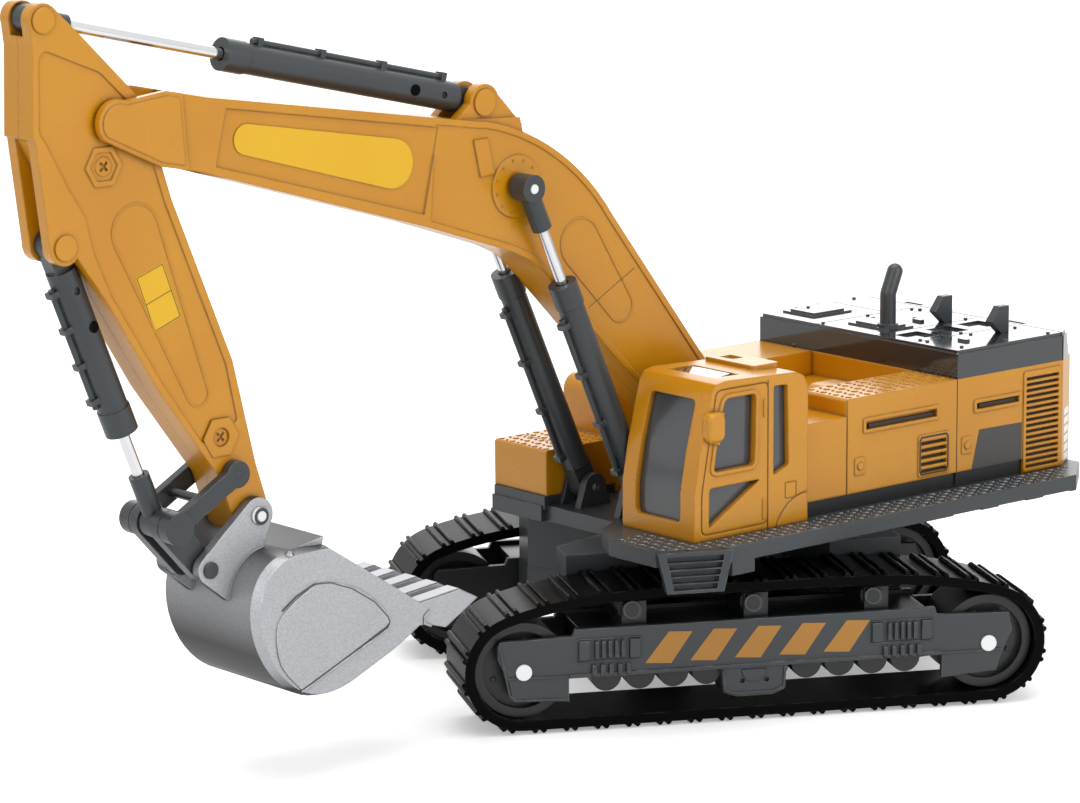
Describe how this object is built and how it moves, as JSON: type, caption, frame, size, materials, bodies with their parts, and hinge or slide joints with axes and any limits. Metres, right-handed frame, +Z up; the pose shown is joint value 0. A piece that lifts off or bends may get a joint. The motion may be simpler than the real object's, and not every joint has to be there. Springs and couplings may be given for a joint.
{
  "type": "toy excavator",
  "caption": "Toy excavator on rubber tracks with a slewing house, a cab with steps, a jointed boom and arm with cylinders, and a bucket worked by a rocker and a link.",
  "frame": {"origin": "on the ground, in the middle of the part's outline at rest; the slewing pivot stands 51 mm behind it", "axes": "+Z up, -X the way that the house and its working gear face, -Y the cab's side; the tracks stand turned 27.6 degrees under the house"},
  "size_m": [0.2963, 0.1524, 0.1818],
  "materials": {
    "black_plastic": "satin moulded plastic",
    "grey_plastic": "satin moulded plastic",
    "black_rubber": "satin moulded rubber",
    "steel_pin": "turned ends",
    "orange_plastic": "semi-gloss moulded plastic",
    "window_plastic": "smooth dark insert",
    "gloss_grey_plastic": "polished moulded plastic",
    "dark_plastic": "satin moulded plastic",
    "yellow_panel": "smooth printed panel",
    "orange_screws": "coated screws",
    "silver_metal": "metallic flake coat",
    "chrome_rod": "polished"
  },
  "bodies": {
    "chassis": {"car_body": "black_plastic", "slew_ring": "black_plastic", "left_track_frame": "black_plastic", "left_track_cover": "grey_plastic", "left_track_belt": "black_rubber", "left_axle_pins": "steel_pin", "right_track_frame": "black_plastic", "right_track_cover": "grey_plastic", "right_track_belt": "black_rubber", "right_axle_pins": "steel_pin"},
    "left_front_wheel": {"left_front_wheel": "black_plastic"},
    "left_rear_wheel": {"left_rear_wheel": "black_plastic"},
    "right_front_wheel": {"right_front_wheel": "black_plastic"},
    "right_rear_wheel": {"right_rear_wheel": "black_plastic"},
    "house": {"deck": "grey_plastic", "steps": "grey_plastic", "slew_washer": "steel_pin", "slew_screw": "steel_pin", "cab_shell": "orange_plastic", "cab_windows": "window_plastic", "left_housing": "orange_plastic", "sills": "black_plastic", "right_housing": "orange_plastic", "rear_housing": "orange_plastic", "engine_cover": "gloss_grey_plastic", "exhaust_pipe": "dark_plastic", "cover_fins": "dark_plastic", "boom_foot_pin": "steel_pin", "boom_tube_pins": "steel_pin"},
    "boom": {"boom_left_half": "orange_plastic", "boom_right_half": "orange_plastic", "boom_panels": "yellow_panel", "boom_screws": "steel_pin", "arm_pivot_pin": "steel_pin", "arm_tube_pin": "orange_plastic"},
    "arm": {"arm_left_half": "orange_plastic", "arm_right_half": "orange_plastic", "arm_screws": "orange_screws", "arm_rod_caps": "orange_plastic", "bucket_tube_pin": "orange_plastic"},
    "bucket": {"bucket_shell": "silver_metal", "bucket_hinge_pin": "dark_plastic", "link_pin": "dark_plastic"},
    "rocker": {"rocker": "grey_plastic", "rocker_pin": "steel_pin"},
    "link": {"link": "grey_plastic"},
    "left_boom_tube": {"left_boom_tube": "dark_plastic"},
    "right_boom_tube": {"right_boom_tube": "dark_plastic"},
    "arm_tube": {"arm_tube": "dark_plastic"},
    "bucket_tube": {"bucket_tube": "dark_plastic"},
    "left_boom_rod": {"left_boom_rod": "chrome_rod", "left_boom_rod_eye": "dark_plastic"},
    "right_boom_rod": {"right_boom_rod": "chrome_rod", "right_boom_rod_eye": "dark_plastic"},
    "arm_rod": {"arm_rod": "chrome_rod", "arm_rod_eye": "dark_plastic"},
    "bucket_rod": {"bucket_rod": "chrome_rod", "bucket_rod_eye": "dark_plastic"}
  },
  "joints": [
    {"name": "left_front_wheel_spin", "type": "hinge", "parent": "chassis", "child": "left_front_wheel", "pos_m": [-0.01733, -0.00659, 0.0151], "axis": [0.4633, 0.8862, 0], "continuous": true},
    {"name": "left_rear_wheel_spin", "type": "hinge", "parent": "chassis", "child": "left_rear_wheel", "pos_m": [0.08458, -0.05987, 0.0151], "axis": [0.4633, 0.8862, 0], "continuous": true},
    {"name": "right_front_wheel_spin", "type": "hinge", "parent": "chassis", "child": "right_front_wheel", "pos_m": [0.01742, 0.05987, 0.0151], "axis": [0.4633, 0.8862, 0], "continuous": true},
    {"name": "right_rear_wheel_spin", "type": "hinge", "parent": "chassis", "child": "right_rear_wheel", "pos_m": [0.11933, 0.00659, 0.0151], "axis": [0.4633, 0.8862, 0], "continuous": true},
    {"name": "slew", "type": "hinge", "parent": "chassis", "child": "house", "pos_m": [0.051, 0, 0.039], "axis": [0, 0, 1], "continuous": true},
    {"name": "boom_lift", "type": "hinge", "parent": "house", "child": "boom", "pos_m": [0.056, 0.002, 0.056], "axis": [0, 1, 0], "range_deg": [-7, 20]},
    {"name": "arm_swing", "type": "hinge", "parent": "boom", "child": "arm", "pos_m": [-0.127, 0.002, 0.1545], "axis": [0, 1, 0], "range_deg": [-18, 25]},
    {"name": "bucket_curl", "type": "hinge", "parent": "arm", "child": "bucket", "pos_m": [-0.0919, 0.002, 0.0621], "axis": [0, 1, 0], "range_deg": [-20, 30]},
    {"name": "rocker_swing", "type": "hinge", "parent": "arm", "child": "rocker", "pos_m": [-0.097, 0.002, 0.0722], "axis": [0, 1, 0], "range_deg": [-18.12, 27.18]},
    {"name": "link_swing", "type": "hinge", "parent": "rocker", "child": "link", "pos_m": [-0.1142, 0.002, 0.0624], "axis": [0, 1, 0], "range_deg": [-21.94, 14.63]},
    {"name": "left_boom_tube_swing", "type": "hinge", "parent": "house", "child": "left_boom_tube", "pos_m": [0.0215, -0.008, 0.0495], "axis": [0, 1, 0], "range_deg": [-7.8, 22.26]},
    {"name": "right_boom_tube_swing", "type": "hinge", "parent": "house", "child": "right_boom_tube", "pos_m": [0.0215, 0.012, 0.0495], "axis": [0, 1, 0], "range_deg": [-7.8, 22.26]},
    {"name": "left_boom_rod_slide", "type": "slide", "parent": "left_boom_tube", "child": "left_boom_rod", "axis": [-0.4068, 0, 0.9135], "range_m": [-0.00417, 0.01188]},
    {"name": "right_boom_rod_slide", "type": "slide", "parent": "right_boom_tube", "child": "right_boom_rod", "axis": [-0.4068, 0, 0.9135], "range_m": [-0.00417, 0.01188]},
    {"name": "arm_tube_swing", "type": "hinge", "parent": "boom", "child": "arm_tube", "pos_m": [-0.0219, 0.002, 0.1493], "axis": [0, 1, 0], "range_deg": [-3.33, 4.63]},
    {"name": "arm_rod_slide", "type": "slide", "parent": "arm_tube", "child": "arm_rod", "axis": [-0.9735, 0, 0.2285], "range_m": [-0.0086, 0.0062]},
    {"name": "bucket_tube_swing", "type": "hinge", "parent": "arm", "child": "bucket_tube", "pos_m": [-0.1404, 0.002, 0.1283], "axis": [0, 1, 0], "range_deg": [-0.33, 0.49]},
    {"name": "bucket_rod_slide", "type": "slide", "parent": "bucket_tube", "child": "bucket_rod", "axis": [0.3694, 0, -0.9293], "range_m": [-0.00918, 0.00612]}
  ],
  "couplings": [
    {"joint": "left_rear_wheel_spin", "follows": "left_front_wheel_spin", "ratio": 1},
    {"joint": "right_rear_wheel_spin", "follows": "right_front_wheel_spin", "ratio": 1},
    {"joint": "rocker_swing", "follows": "bucket_curl", "ratio": 0.888},
    {"joint": "link_swing", "follows": "bucket_curl", "ratio": -0.7166},
    {"joint": "bucket_tube_swing", "follows": "bucket_curl", "ratio": 0.0157},
    {"joint": "bucket_rod_slide", "follows": "bucket_curl", "m_per_rad": -0.01716},
    {"joint": "left_boom_tube_swing", "follows": "boom_lift", "ratio": 1.0906},
    {"joint": "right_boom_tube_swing", "follows": "boom_lift", "ratio": 1.0906},
    {"joint": "left_boom_rod_slide", "follows": "boom_lift", "m_per_rad": 0.03335},
    {"joint": "right_boom_rod_slide", "follows": "boom_lift", "m_per_rad": 0.03335},
    {"joint": "arm_tube_swing", "follows": "arm_swing", "ratio": 0.1811},
    {"joint": "arm_rod_slide", "follows": "arm_swing", "m_per_rad": -0.01931}
  ]
}
